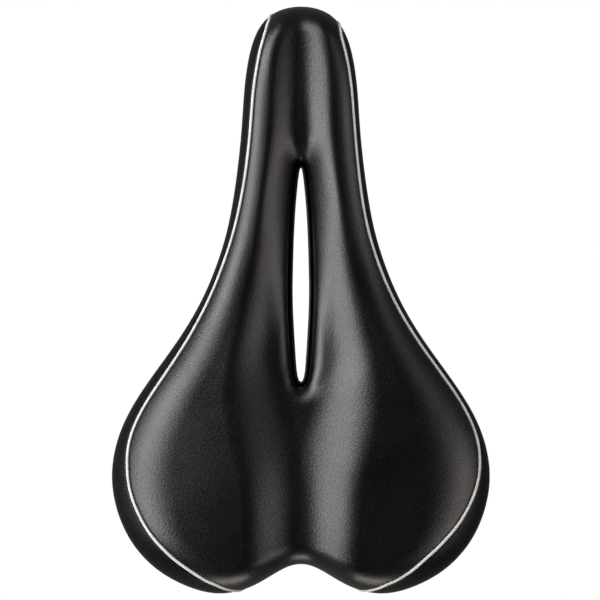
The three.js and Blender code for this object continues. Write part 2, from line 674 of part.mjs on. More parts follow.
function baseShell() {
  const plate = shellSlab(0, -SHELL.thick);
  const below = shellSlab(-1, -40).intersect(ribRoom());
  const { nose, rear } = SOCKETS;
  const rearBoss = socketBoss(rear);
  const otherBoss = solidOf(mirrored(geometryFrom(rearBoss)));
  const bosses = socketBoss(nose).add(rearBoss).add(otherBoss).intersect(below);
  const ribs = ribWalls().intersect(shellSlab(-1, -SHELL.thick - RIB.deep)).intersect(ribRoom());
  let solid = plate.add(ribs).add(slotKerb().intersect(below)).add(bosses).subtract(bothRails());
  for (const place of [nose, rear, { ...rear, x: -rear.x }]) {
    for (const [dx, dy] of place.screws) {
      const hole = cylinderAt(
        SCREW.shank + GAP, place.x + dx, place.y + dy, place.z - 1, place.z + SCREW.into + 0.6,
      );
      solid = solid.subtract(solidOf(hole));
    }
  }
  return geometryFrom(solid);
}

/** The clip-in ring that lines the slot and holds the cover's edge: a collar with a flange below. */
function slotTrim() {
  const { wall, flange, flangeThick, collarUp } = TRIM;
  return ringSolid((u) => {
    const loop = (e, up) => onShell(slotPoint(slotShare(u), e), up - SHELL.thick);
    const top = -GAP;
    return [
      loop(0, top - flangeThick), loop(0, collarUp), loop(wall, collarUp), loop(wall, top),
      loop(flange, top), loop(flange - 0.8, top - flangeThick),
    ];
  });
}

// ---------- assembly ----------
const finish = (color, roughness, metalness = 0) =>
  new THREE.MeshStandardMaterial({ color, roughness, metalness });

const LOOKS = {
  leather: finish(0x141416, 0.45),
  sideLeather: finish(0x101013, 0.5),
  piping: finish(0xe6e6e0, 0.4),
  foam: finish(0x3a3a3c, 0.9),
  gel: finish(0x6d8fae, 0.3),
  nylon: finish(0x1b1b1d, 0.55),
  steel: finish(0xb4b7ba, 0.3, 1),
  zinc: finish(0xc8c9c6, 0.35, 1),
};

const saddle = new THREE.Group();

function place(name, geometry, look) {
  const mesh = new THREE.Mesh(geometry, look);
  mesh.name = name;
  saddle.add(mesh);
}

function placePair(name, geometry, look) {
  place(`${name}_right`, geometry, look);
  place(`${name}_left`, mirrored(geometry), look);
}

place("base_shell", baseShell(), LOOKS.nylon);
place("foam_pad", foamPad(), LOOKS.foam);
placePair("gel_pad", gelPad(), LOOKS.gel);
const [rightPanel, topPanel, leftPanel] = coverPanels();
place("cover_top_panel", topPanel, LOOKS.leather);
place("cover_side_panel_right", rightPanel, LOOKS.sideLeather);
place("cover_side_panel_left", leftPanel, LOOKS.sideLeather);
place("piping_right", piping(RIGHT_SEAM), LOOKS.piping);
place("piping_left", mirrored(piping(LEFT_SEAM)), LOOKS.piping);
place("slot_trim", slotTrim(), LOOKS.nylon);
placePair("rail", rail(), LOOKS.steel);
place("nose_clamp_cap", clampCap(SOCKETS.nose), LOOKS.nylon);
placePair("rear_clamp_cap", clampCap(SOCKETS.rear), LOOKS.nylon);
SOCKETS.nose.screws.forEach((at, i) => {
  place(`nose_screw_${i + 1}`, screwAt(SOCKETS.nose, at), LOOKS.zinc);
});
SOCKETS.rear.screws.forEach((at, i) => {
  placePair(`rear_screw_${i + 1}`, screwAt(SOCKETS.rear, at), LOOKS.zinc);
});

export default saddle;
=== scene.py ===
"""Looks of the bicycle saddle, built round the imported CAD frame. Surfaces are worked out in millimetres
with the same dimensions as the CAD, at a much finer pitch, and turned into metres when a mesh is made."""
import math

import bpy
import numpy as np
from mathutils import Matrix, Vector


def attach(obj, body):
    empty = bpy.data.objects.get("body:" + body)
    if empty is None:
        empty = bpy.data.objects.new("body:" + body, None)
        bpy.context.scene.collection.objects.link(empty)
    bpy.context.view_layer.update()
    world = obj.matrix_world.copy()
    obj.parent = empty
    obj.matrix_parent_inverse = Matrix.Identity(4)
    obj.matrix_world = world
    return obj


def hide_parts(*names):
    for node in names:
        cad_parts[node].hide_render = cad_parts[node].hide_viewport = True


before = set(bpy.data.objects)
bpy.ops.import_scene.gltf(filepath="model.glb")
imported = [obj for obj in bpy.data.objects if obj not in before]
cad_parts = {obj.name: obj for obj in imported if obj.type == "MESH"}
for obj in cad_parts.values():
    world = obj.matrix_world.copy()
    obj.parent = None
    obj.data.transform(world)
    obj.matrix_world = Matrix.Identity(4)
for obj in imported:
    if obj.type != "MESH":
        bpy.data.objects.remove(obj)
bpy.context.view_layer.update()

MM = 0.001

# ---------- dimensions shared with the CAD, in mm ----------
CLAMP_S = 150  # nose tip to the middle of the rails' clamp zone; s is the distance back from the nose tip

OUTLINE = [
    (-0.5, 0), (1.1, 9.1), (5.2, 15.8), (12, 20.5), (22, 23.8), (38, 26.2), (60, 27.8), (95, 32.4),
    (115, 37.5), (135, 45.5), (155, 57.2), (175, 71.4), (195, 82.8), (215, 87.4), (232, 85.3),
    (248, 78), (260.5, 66.2), (268, 52.7), (271.4, 37.6), (267.6, 21.7), (260.7, 9.3), (257.8, 0),
]
SLOT = dict(front=74.6, rear=174)
DROOP_FROM, DROOP_OVER = 22, 65
THICK, FOAM_GAP, SLOT_LOW, SLOT_ZONE = 1.2, 1.3, 1.6, 11.5
EDGE_ZONE = 12
SHELL_INSET, SHELL_BEND, SHELL_POWER, SHELL_THICK, SLOT_GAP, UNDER_COVER = 6, 20, 1.4, 3.2, 3.4, 0.75
GAP = 0.3
PIPING_RADIUS, PIPING_SINK = 0.74, 0.25
RAIL_RADIUS, RAIL_GAUGE, RAIL_CORNER = 3.5, 43.5, 12
GEL = dict(s=213, x=47, half_long=30, half_wide=21, thick=6)
TRIM = dict(wall=1.2, flange=6.6, thick=1.6, up=4.5)


def through(knots):
    """Smooth curve through (position, value) knots, held level outside them."""
    at, value = np.array(knots, float).T
    after, before = np.r_[at[1:], at[-1]], np.r_[at[0], at[:-1]]
    slope = (np.r_[value[1:], value[-1]] - np.r_[value[0], value[:-1]]) / (after - before)

    def curve(x):
        x = np.clip(np.asarray(x, float), at[0], at[-1])
        i = np.clip(np.searchsorted(at, x, side="right") - 1, 0, len(at) - 2)
        span = at[i + 1] - at[i]
        t = (x - at[i]) / span
        t2, t3 = t * t, t * t * t
        return (
            (2 * t3 - 3 * t2 + 1) * value[i] + (t3 - 2 * t2 + t) * span * slope[i]
            + (3 * t2 - 2 * t3) * value[i + 1] + (t3 - t2) * span * slope[i + 1]
        )

    return curve


# the top: value in mm at s
crest_height = through([
    (0, 45.5), (15, 48.5), (40, 50), (85, 50), (125, 50.5), (150, 53), (180, 58.5), (210, 63.5),
    (235, 65.5), (255, 65), (272, 62.5),
])
valley_depth = through([
    (-4, 0), (7, 2.5), (16, 3.6), (30, 4.4), (57, 5), (90, 5.6), (113, 6), (136, 6.6), (159, 7.4),
    (182, 8.6), (201, 9.4), (219, 9), (238, 8.6), (252, 7.6), (264, 6),
])
valley_middle = through([
    (7, 5.6), (16, 7), (30, 7.8), (57, 8.8), (71, 10.5), (90, 13), (113, 14.5), (136, 18), (150, 20.5),
    (159, 22.3), (168, 22.8), (182, 21), (201, 17), (219, 14.5), (252, 14),
])
valley_half = through([
    (7, 5.6), (16, 7), (30, 7.4), (57, 7.2), (90, 7), (113, 8.5), (136, 10), (150, 10.5), (159, 11.3),
    (168, 12.3), (182, 15.8), (201, 17), (219, 14.5), (252, 13),
])
wing_droop = through([(120, 0), (180, 6.5), (230, 9), (272, 6.5)])
# the slot: half its width in mm at h, the share of its length from the front tip
slot_half = through([
    (0, 0), (0.1, 0.8), (0.2, 1.65), (0.3, 2.6), (0.4, 3.3), (0.5, 3.7), (0.55, 3.8), (0.62, 3.55),
    (0.7, 2.95), (0.78, 2.4), (0.85, 1.9), (0.92, 1.2), (1, 0),
])
# the top's roll down into the slot and the base shell: value in mm at s
roll_depth = through([
    (50, 10), (64, 12), (78, 12.8), (89, 15.7), (95, 16.3), (109, 15.6), (124, 17), (140, 16.9),
    (164.5, 11.8), (174, 7.5), (190, 7),
])
roll_edge = through([
    (50, 13.2), (78, 13.8), (95, 14.9), (109, 15.5), (124, 15.8), (140, 15.6), (164.5, 15.45),
    (174, 13.8), (190, 13.5),
])
roll_offset = through([
    (48, 14.5), (53.5, 12.8), (57.5, 10.7), (61.5, 8.2), (65.5, 5.9), (68.5, 4.4), (72.5, 2.8),
    (76.5, 1.7), (81.5, 0.6), (87, 0), (166, 0), (172, 0.3), (176, 2.2), (182, 8), (188, 14), (190, 16),
])
shell_height = through([
    (0, 35), (80, 35), (125, 34.5), (150, 36), (180, 40), (215, 45), (245, 47), (272, 47),
])
# round the edge: value in mm at u, the share of the half outline from the nose tip
edge_reach = through([
    (0, 13), (0.12, 14), (0.3, 15), (0.38, 16), (0.48, 20), (0.58, 26), (0.66, 29), (0.73, 28),
    (0.8, 22), (0.86, 16), (0.9, 13), (0.95, 11), (1, 11),
])
edge_drop = through([
    (0, 13), (0.12, 12), (0.3, 12.5), (0.48, 14), (0.58, 14.5), (0.66, 14), (0.73, 13.5), (0.8, 14.5),
    (0.88, 15), (0.95, 13), (1, 11),
])
rim_height = through([
    (0, 26), (0.07, 24), (0.2, 24), (0.38, 28.5), (0.48, 31), (0.58, 33.5), (0.66, 35), (0.8, 39.5),
    (0.89, 43), (1, 44),
])
fold_reach = through([
    (0, 11.5), (0.06, 11), (0.13, 10), (0.21, 10), (0.27, 15), (0.36, 17), (0.62, 17), (0.72, 15),
    (1, 15),
])
# the seams: the cover's v at u, beyond its free edge where they run out under the fold
right_seam = through([
    (0.032, 7), (0.038, 5.5), (0.044, 4.3), (0.051, 3.2), (0.059, 2.8), (0.072, 2.6), (0.09, 2.55),
    (0.12, 2.548), (0.16, 2.562), (0.2, 2.569), (0.25, 2.55), (0.3, 2.534), (0.38, 2.55), (0.43, 2.568),
    (0.52, 2.575), (0.575, 2.563), (0.62, 2.499), (0.66, 2.367), (0.7, 2.232), (0.733, 2.138),
    (0.77, 2.068), (0.8, 2.067), (0.82, 2.1), (0.84, 2.18), (0.87, 2.323), (0.89, 2.459), (0.915, 2.9),
    (0.93, 3.6), (0.945, 5.3), (0.95, 6),
])
left_seam = through([
    (0.018, 7), (0.024, 5.5), (0.03, 4.3), (0.037, 3.2), (0.045, 2.75), (0.055, 2.57), (0.07, 2.46),
    (0.09, 2.422), (0.12, 2.414), (0.16, 2.436), (0.25, 2.452), (0.3, 2.493), (0.34, 2.527),
    (0.38, 2.538), (0.43, 2.517), (0.475, 2.465), (0.52, 2.414), (0.575, 2.378), (0.62, 2.322),
    (0.66, 2.218), (0.7, 2.156), (0.733, 2.11), (0.77, 2.094), (0.8, 2.105), (0.84, 2.186),
    (0.87, 2.323), (0.89, 2.459), (0.915, 2.9), (0.93, 3.6), (0.945, 5.3), (0.95, 6),
])


# ---------- plan view ----------
def closed_curve(points, steps):
    """Evenly spaced points on the smooth closed curve through the given ones."""
    loop = np.array(points, float)
    knots = np.r_[0, np.cumsum(np.sqrt(np.linalg.norm(np.roll(loop, -1, 0) - loop, axis=1)))]
    n, h = len(loop), np.diff(knots)
    system, right = np.zeros((n, n)), np.zeros((n, 2))
    for i in range(n):
        before, after = h[i - 1], h[i]
        system[i, i - 1] += before
        system[i, i] += 2 * (before + after)
        system[i, (i + 1) % n] += after
        right[i] = 6 * ((loop[(i + 1) % n] - loop[i]) / after - (loop[i] - loop[i - 1]) / before)
    bend = np.linalg.solve(system, right)
    at = np.linspace(0, knots[-1], steps, endpoint=False)
    i = np.searchsorted(knots, at, side="right") - 1
    a, b = (knots[i + 1] - at)[:, None], (at - knots[i])[:, None]
    step, j = h[i][:, None], (i + 1) % n
    dense = (
        bend[i] * a**3 / (6 * step) + bend[j] * b**3 / (6 * step)
        + (loop[i] / step - bend[i] * step / 6) * a + (loop[j] / step - bend[j] * step / 6) * b
    )
    length = np.r_[0, np.cumsum(np.linalg.norm(np.roll(dense, -1, 0) - dense, axis=1))]
    dense = np.vstack([dense, dense[:1]])
    even = np.linspace(0, length[-1], steps, endpoint=False)
    return np.stack([np.interp(even, length, dense[:, k]) for k in (0, 1)], 1)


def blurred(loop, reach):
    """A closed loop of points with its small waves smoothed out and its size kept."""
    offsets = np.arange(-3 * reach, 3 * reach + 1)
    weights = np.exp(-0.5 * (offsets / reach) ** 2)
    weights /= weights.sum()

    def blur(p):
        return sum(w * np.roll(p, o, 0) for w, o in zip(weights, offsets))

    return blur(2 * loop - blur(loop))


OUTLINE_STEPS = 4000
right_side = [(x, CLAMP_S - s) for s, x in OUTLINE]
left_side = [(-x, y) for x, y in right_side[-2:0:-1]]
BLUR = 24  # outline steps over which its small waves are smoothed out
outline_loop = blurred(closed_curve(right_side + left_side, OUTLINE_STEPS), BLUR)
HALF = outline_loop[: OUTLINE_STEPS // 2 + 1].copy()
HALF[0, 0] = HALF[-1, 0] = 0
tangent = np.gradient(outline_loop, axis=0)[: OUTLINE_STEPS // 2 + 1]
tangent[0], tangent[-1] = (1, 0), (-1, 0)
tangent /= np.linalg.norm(tangent, axis=1)[:, None]
HALF_IN = np.stack([tangent[:, 1], -tangent[:, 0]], 1)
HALF_U = np.linspace(0, 1, len(HALF))


def outline_at(u):
    """Point and inward normal of the right half outline at u, from the nose tip (0) to the notch (1)."""
    point = np.stack([np.interp(u, HALF_U, HALF[:, k]) for k in (0, 1)], -1)
    inward = np.stack([np.interp(u, HALF_U, HALF_IN[:, k]) for k in (0, 1)], -1)
    return point, inward / np.linalg.norm(inward, axis=-1)[..., None]


BATCH = 2000  # points measured at a time, to save memory


def edge_distance(xy):
    """Distance from points of the right half to the outline, and the u of the nearest outline point."""
    nodes, nodes_u = HALF[::4], HALF_U[::4]
    flat = xy.reshape(-1, 2)
    q, u = np.empty(len(flat)), np.empty(len(flat))
    a, d = nodes[:-1], np.diff(nodes, axis=0)
    size = (d**2).sum(1)
    for start in range(0, len(flat), BATCH):
        p = flat[start : start + BATCH, None, :]
        t = np.clip(((p - a) * d).sum(-1) / size, 0, 1)
        gap = np.linalg.norm(p - a - t[..., None] * d, axis=-1)
        best, rows = gap.argmin(1), np.arange(len(gap))
        q[start : start + BATCH] = gap[rows, best]
        step = nodes_u[1]
        u[start : start + BATCH] = nodes_u[best] + t[rows, best] * step
    return q.reshape(xy.shape[:-1]), u.reshape(xy.shape[:-1])


def slot_point(h, e):
    """Point on the slot's right edge grown outwards by e; h runs from its front tip (0) to its rear (1)."""
    def lens(share):
        reach = (SLOT["rear"] - SLOT["front"]) / 2
        s = (SLOT["front"] + SLOT["rear"]) / 2 - reach * np.cos(np.pi * share)
        return np.stack([slot_half(share), CLAMP_S - s], -1)

    step = 1e-3
    inside = np.clip(h, step, 1 - step)
    along = lens(inside + step / 2) - lens(inside - step / 2)
    along /= np.linalg.norm(along, axis=-1)[..., None]
    away = np.stack([-along[..., 1], along[..., 0]], -1)
    tip = np.minimum(h, 1 - h) < step
    ends = np.stack([np.zeros_like(h), np.where(h < 0.5, 1.0, -1.0)], -1)
    away = np.where(tip[..., None], ends, away)
    return lens(np.clip(h, 0, 1)) + away * np.asarray(e)[..., None]


SHARE_FROM, SHARE_OVER = 50, 150  # the stretch of s in which the rows pass the slot
SHARE_BY_U = 0.3


def slot_share(u):
    """The h on the slot's edge that belongs to the outline's u, so that rows fan out evenly."""
    s = CLAMP_S - outline_at(u)[0][..., 1]
    return SHARE_BY_U * u + (1 - SHARE_BY_U) * np.clip((s - SHARE_FROM) / SHARE_OVER, 0, 1)


# ---------- surfaces ----------
def smooth(t):
    """A soft step from 0 to 1."""
    t = np.clip(t, 0, 1)
    return t * t * (3 - 2 * t)


def cover_top(xy, q, u):
    """Height of the cover's top face."""
    s, across = CLAMP_S - xy[..., 1], np.abs(xy[..., 0])
    wall = (across - valley_middle(s) + valley_half(s)) / (2 * valley_half(s))
    droop = wing_droop(s) * (np.maximum(0, across - DROOP_FROM) / DROOP_OVER) ** 2
    inward = np.clip(q / edge_reach(u), 0, 1)
    edge = edge_drop(u) * (1 - np.sqrt(1 - (1 - inward) ** 2))
    away = np.hypot(across, roll_offset(s)) / roll_edge(s)
    roll = roll_depth(s) * np.clip(1 - away, 0, 1) ** 3
    return crest_height(s) - valley_depth(s) * (1 - smooth(wall)) - droop - edge - roll


def shell_top(y, q, u):
    """Height of the base shell's top face."""
    rise = 1 - (1 - np.clip((q - SHELL_INSET) / SHELL_BEND, 0, 1)) ** SHELL_POWER
    return rim_height(u) + (shell_height(CLAMP_S - y) - rim_height(u)) * rise


def with_height(xy, z):
    """Points in plan with heights added."""
    return np.concatenate([xy, np.broadcast_to(z, xy.shape[:-1])[..., None]], -1)


def fold_point(u, q):
    """The cover's fold, just under the base shell's rim."""
    step = 0.01
    point, inward = outline_at(u)
    y = point[..., 1] + inward[..., 1] * q
    slope = (shell_top(y, q + step, u) - shell_top(y, q, u)) / step
    off = (THICK + UNDER_COVER) / np.hypot(1, slope)
    xy = point + inward * (q + off * slope)[..., None]
    return with_height(xy, shell_top(y, q, u) - SHELL_THICK - off)


SLOT_STEEP = 16  # the higher, the nearer to the slot the wall turns down


def slot_wall(u, v):
    """The last of the roll into the slot, which turns steep."""
    h = slot_share(u)
    xy = slot_point(h, SLOT_LOW + (SLOT_ZONE - SLOT_LOW) * v)
    foot = slot_point(h, np.full_like(u, SLOT_LOW))
    low = shell_height(CLAMP_S - foot[..., 1]) - SHELL_THICK + GAP
    fall = cover_top(foot, *edge_distance(foot)) - low
    return with_height(xy, cover_top(xy, *edge_distance(xy)) - fall * (1 - v) ** SLOT_STEEP)


def top_field(u, v):
    """The broad top, from the slot's lip to where the edge starts to round over."""
    point, inward = outline_at(u)
    inner = slot_point(slot_share(u), np.full_like(u, SLOT_ZONE))
    xy = inner + (point + inward * EDGE_ZONE - inner) * (v - 1)[..., None]
    return with_height(xy, cover_top(xy, *edge_distance(xy)))


def top_edge(u, v):
    """The rounded edge, its rows spaced by angle, out to the widest line."""
    reach = edge_reach(u)
    turn = np.arccos(np.clip(1 - EDGE_ZONE / reach, 0, 1))
    q = np.minimum(EDGE_ZONE, reach * (1 - np.cos(turn * (3 - v))))
    point, inward = outline_at(u)
    xy = point + inward * q[..., None]
    return with_height(xy, cover_top(xy, q, u))


def low_line(u):
    """Height of the cover's lowest line, under the base shell's rim."""
    return rim_height(u) - SHELL_THICK - THICK - UNDER_COVER


SIDE_TUCK, SIDE_DROP = 3.4, 0.6  # how far its third control point stays out, how low the second is


def side_face(u, v):
    """The side, a Bezier curve from the widest line down and in to the rim."""
    point, inward = outline_at(u)
    widest, low = cover_top(point, np.zeros_like(u), u), low_line(u)
    t = v - 3
    b1, b2, b3 = 3 * t * (1 - t) ** 2, 3 * t * t * (1 - t), t**3
    q = b2 * (SHELL_INSET - SIDE_TUCK) + b3 * SHELL_INSET
    z = (1 - t) ** 3 * widest + b1 * (widest + SIDE_DROP * (low - widest)) + (b2 + b3) * low
    return with_height(point + inward * q[..., None], z)


FOLD_START = 3  # how far the cover runs in from the rim before it lies against the base shell


def fold_face(u, v):
    """The turn under the rim: its first quarter leads to the fold, and the rest follows the shell."""
    point, inward = outline_at(u)
    start = with_height(point + inward * SHELL_INSET, low_line(u))
    first, t = SHELL_INSET + FOLD_START, (v - 4) * 4
    short = start + (fold_point(u, np.full_like(u, first)) - start) * np.clip(t, 0, 1)[..., None]
    q = first + (fold_reach(u) - first) * (t - 1) / 3
    return np.where((t < 1)[..., None], short, fold_point(u, q))


def cover_point(u, v):
    """The cover's outer face. v runs from the slot's lower edge (0) over its lip (1), the start of the
    rounded edge (2), the widest line (3) and the rim (4) to the free edge of the fold (5)."""
    u, v = np.broadcast_arrays(np.asarray(u, float), np.asarray(v, float))
    out = np.empty(u.shape + (3,))
    for low, high, face in [
        (-math.inf, 1, slot_wall), (1, 2, top_field), (2, 3, top_edge), (3, 4, side_face),
        (4, math.inf, fold_face),
    ]:
        here = (v >= low) & (v < high)
        if here.any():
            out[here] = face(u[here], v[here])
    return out


def grid_normals(grid):
    """Outward normals of a right-half grid whose first and last rows lie on the middle plane."""
    mirror = np.array([-1, 1, 1])
    padded = np.concatenate([grid[1:2] * mirror, grid, grid[-2:-1] * mirror])
    along = padded[2:] - padded[:-2]
    across = np.gradient(grid, axis=1)
    normal = np.cross(along, across)
    return normal / np.maximum(np.linalg.norm(normal, axis=-1), 1e-12)[..., None]


# ---------- meshes ----------
def add_object(name, points, faces, body="root"):
    """A smooth-shaded piece from points in mm, riding on a body."""
    mesh = bpy.data.meshes.new(name)
    mesh.from_pydata((np.asarray(points).reshape(-1, 3) * MM).tolist(), [], faces)
    mesh.validate()
    mesh.shade_smooth()
    piece = bpy.data.objects.new(name, mesh)
    bpy.context.scene.collection.objects.link(piece)
    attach(piece, body)
    return piece


def loop_faces(rows, width, closed):
    """Quads between consecutive closed section loops; closed joins the last loop to the first."""
    i = np.arange(rows if closed else rows - 1)[:, None]
    j = np.arange(width)[None, :]
    k, n = (i + 1) % rows, (j + 1) % width
    quads = np.stack(
        [i * width + j, i * width + n, k * width + n, k * width + j], -1
    ).reshape(-1, 4)
    return quads.tolist()


def outward(points, faces):
    """The faces, all turned round if they enclose the points inside out."""
    p = np.asarray(points).reshape(-1, 3)
    quads = np.array([f for f in faces if len(f) == 4])
    volume = 0.0
    for a, b, c in ((0, 1, 2), (0, 2, 3)):
        volume += np.sum(p[quads[:, a]] * np.cross(p[quads[:, b]], p[quads[:, c]]))
    return faces if volume > 0 else [f[::-1] for f in faces]


def ring_piece(name, right, left=None):
    """A piece that runs all the way round, from section loops of the right half. The left half is its
    mirror image unless it has loops of its own, also given on the right-hand side."""
    right = right.copy()
    right[0, :, 0] = right[-1, :, 0] = 0
    left = right if left is None else left
    points = np.concatenate([right, left[-2:0:-1] * np.array([-1, 1, 1])])
    return add_object(name, points, outward(points, loop_faces(len(points), points.shape[1], True)))


def bar_piece(name, loops, mirror=False):
    """A capped bar through section loops; mirror makes its left-hand twin."""
    points = loops * np.array([-1, 1, 1]) if mirror else loops
    rows, width = points.shape[:2]
    caps = [list(range(width))[::-1], list(range((rows - 1) * width, rows * width))]
    return add_object(name, points, outward(points, loop_faces(rows, width, False) + caps))


# ---------- cover ----------
def stations(*stretches):
    """Values through stretches of (start, end, count), with the last end included."""
    parts = [np.linspace(start, end, count, endpoint=False) for start, end, count in stretches]
    return np.concatenate(parts + [[stretches[-1][1]]])


def values_at(row_lengths, row_values, lengths):
    """Row by row, values at the given lengths."""
    return np.stack([
        np.stack([np.interp(at, length, value[:, k]) for k in range(value.shape[1])], -1)
        for at, length, value in zip(lengths, row_lengths, row_values)
    ])


SEAM_START = {"right": 0.0405, "left": 0.0265}  # u where each seam comes out from under the fold
SEAM_END = 0.942  # u where both go back in under it at the rear
SEAM_AHEAD, SEAM_LAST = 0.0065, 0.9495  # gaps are measured from this much before the start, to here
SEAM_PITCH, PIPING_PITCH = 0.4, 0.8
NEAR_U = 0.045  # how far along the outline a seam point can be and still be the nearest
NO_SEAM = 99.0  # the gap where no seam is near


def seam_path(seam, start, end, pitch):
    """Points of a seam about pitch apart, on the right-hand side, and their u."""
    u = np.linspace(start, end, 6000)
    points = cover_point(u, seam(u))
    length = np.r_[0, np.cumsum(np.linalg.norm(np.diff(points, axis=0), axis=1))]
    even = np.interp(np.linspace(0, length[-1], int(length[-1] / pitch)), length, u)
    return cover_point(even, seam(even)), even


LIP_COLUMNS = 40


class Cover:
    """One half of the cover's outer face, given on the right-hand side. Rows are stations along the
    outline; columns run from the slot's lower edge to the fold's free edge. The seam comes out from under
    the fold at start. gap is each point's distance from it, below zero on the top panel's side."""

    def __init__(self, seam, start):
        self.seam, self.start = seam, start
        # rows are closest where the seams pass under the fold, at the nose and at the rear
        self.u = stations(
            (0, 0.016, 7), (0.016, 0.066, 92), (0.066, 0.88, 210), (0.88, 0.95, 90), (0.95, 1, 16)
        )
        self.v = stations((0, 1, LIP_COLUMNS), (1, 2, 150), (2, 3, 60), (3, 4, 50), (4, 5, 40))
        self.points = cover_point(self.u[:, None], self.v)
        self.normals = grid_normals(self.points)
        edges = np.linalg.norm(np.diff(self.points, axis=1), axis=-1)
        self.length = np.concatenate([np.zeros((len(self.u), 1)), np.cumsum(edges, 1)], 1)
        self.gap = self.seam_gap()
        lift = pleats(self.u[:, None], self.v) - tuck(np.abs(self.gap))
        self.face = self.points + self.normals * lift[..., None]

    def seam_gap(self):
        """Each point's distance from the seam, below zero on the top panel's side."""
        path, path_u = seam_path(self.seam, self.start - SEAM_AHEAD, SEAM_LAST, SEAM_PITCH)
        gap = np.full(self.points.shape[:2], NO_SEAM)
        for i, u in enumerate(self.u):
            near = np.flatnonzero(np.abs(path_u - u) < NEAR_U)
            if len(near) < 2:
                continue
            a, b = path[near[:-1]], path[near[1:]]
            d, p = b - a, self.points[i][:, None, :]
            t = np.clip(((p - a) * d).sum(-1) / (d**2).sum(-1), 0, 1)
            gap[i] = np.linalg.norm(p - a - t[..., None] * d, axis=-1).min(1)
        far_side = self.v[None, :] > self.seam(self.u)[:, None]
        return np.where(far_side, gap, -gap)

    def first_length(self, limit):
        """Row by row, the length where the top panel comes within limit of the seam."""
        out = self.length[:, -1].copy()
        for i, gap in enumerate(self.gap):
            hits = np.flatnonzero(gap >= -limit)
            if len(hits) and hits[0] > 0:
                k = hits[0]
                share = (-limit - gap[k - 1]) / max(gap[k] - gap[k - 1], 1e-6)
                out[i] = self.length[i, k - 1] + share * (self.length[i, k] - self.length[i, k - 1])
        return out

    def side_lengths(self, limit):
        """Row by row, the lengths between which the side panel keeps limit away from the seam."""
        first, last = self.length[:, -1].copy(), self.length[:, -1].copy()
        for i, gap in enumerate(self.gap):
            clear = np.flatnonzero(gap >= limit)
            if not len(clear) or clear[0] == 0:
                continue
            k = clear[0] - 1
            share = (limit - gap[k]) / (gap[k + 1] - gap[k])
            first[i] = self.length[i, k] + share * (self.length[i, k + 1] - self.length[i, k])
            close = np.flatnonzero(gap[k + 1 :] < limit)
            if len(close):
                last[i] = self.length[i, k + close[0]]
        return first, last

    def sheet(self, rows, lengths):
        """Section loops of a sheet of cover material between its outer face and its inner face."""
        outer = values_at(self.length[rows], self.face[rows], lengths)
        normals = values_at(self.length[rows], self.normals[rows], lengths)
        normals /= np.maximum(np.linalg.norm(normals, axis=-1), 1e-9)[..., None]
        thin = np.r_[0 : outer.shape[1] - 1 : 4, outer.shape[1] - 1][::-1]
        return np.concatenate([outer, (outer - normals * THICK)[:, thin]], 1)


TUCK_DEPTH, TUCK_FROM, TUCK_OVER = 0.35, 1.9, 1.1


def tuck(distance):
    """How far a panel's face dips beside the piping."""
    return TUCK_DEPTH * np.clip((TUCK_FROM - distance) / TUCK_OVER, 0, 1) ** 2


HALF_LENGTH = 366  # mm along the half outline, rounded down
TIGHT_BEND = 28  # mm, the outline's radius at which the gathers reach their full depth
PLEAT_DEPTH = 0.55
heading = np.unwrap(np.arctan2(HALF_IN[:, 1], HALF_IN[:, 0]))
bend_share = np.clip(np.abs(np.gradient(heading, HALF_U * HALF_LENGTH)) * TIGHT_BEND, 0, 1)


def pleats(u, v):
    """Gathers in the fold under the rim, deepest where the outline bends most."""
    bend = np.interp(u, HALF_U, bend_share)
    along = u * HALF_LENGTH
    wave = np.sin(along * 1.05 + 1.7 * np.sin(along * 0.23)) * (0.7 + 0.3 * np.sin(along * 0.61 + 1))
    return PLEAT_DEPTH * bend * smooth((v - 4.1) / 0.6) * wave


NEAR_SEAM = np.array([3.2, 2.6, 2.1, 1.75, 1.5, 1.3, 1.1, 0.95, 0.8])  # columns' distances from the seam
COLUMN_GAP = 0.01  # kept between them where they run together
LEAST_WIDTH = 0.4  # a side panel starts and ends where it is this wide
COVERS = {
    "right": Cover(right_seam, SEAM_START["right"]),
    "left": Cover(left_seam, SEAM_START["left"]),
}


def top_half(cover):
    """Section loops of the top panel's half, from the slot's lower edge to the seam."""
    lip = cover.length[:, LIP_COLUMNS]
    near = np.stack([cover.first_length(limit) for limit in NEAR_SEAM], 1)
    near -= COLUMN_GAP * np.arange(len(NEAR_SEAM))[::-1]
    wall = lip[:, None] * (1 - (1 - np.linspace(0, 1, 25)[:-1]) ** 1.3)
    field = lip[:, None] + (near[:, :1] - lip[:, None]) * np.linspace(0, 1, 90)[:-1]
    return cover.sheet(np.arange(len(cover.u)), np.concatenate([wall, field, near], 1))


def side_panel(side):
    """The panel below a seam, from the piping to the fold's free edge."""
    cover = COVERS[side]
    near = np.stack([cover.side_lengths(limit)[0] for limit in NEAR_SEAM[::-1]], 1)
    end = cover.side_lengths(NEAR_SEAM[-1])[1]
    seamed = (cover.u > cover.start) & (cover.u < SEAM_END)
    wide = np.flatnonzero((end - near[:, 0] > LEAST_WIDTH) & seamed)
    rows = np.arange(wide[0], wide[-1] + 1)
    order = np.arange(len(NEAR_SEAM), 0, -1)
    near = np.minimum(near[rows], end[rows, None] - COLUMN_GAP * order)
    far = near[:, -1:] + (end[rows, None] - near[:, -1:]) * np.linspace(0, 1, 40)[1:]
    loops = cover.sheet(rows, np.concatenate([near, far], 1))
    return bar_piece(f"cover_side_{side}", loops, side == "left")


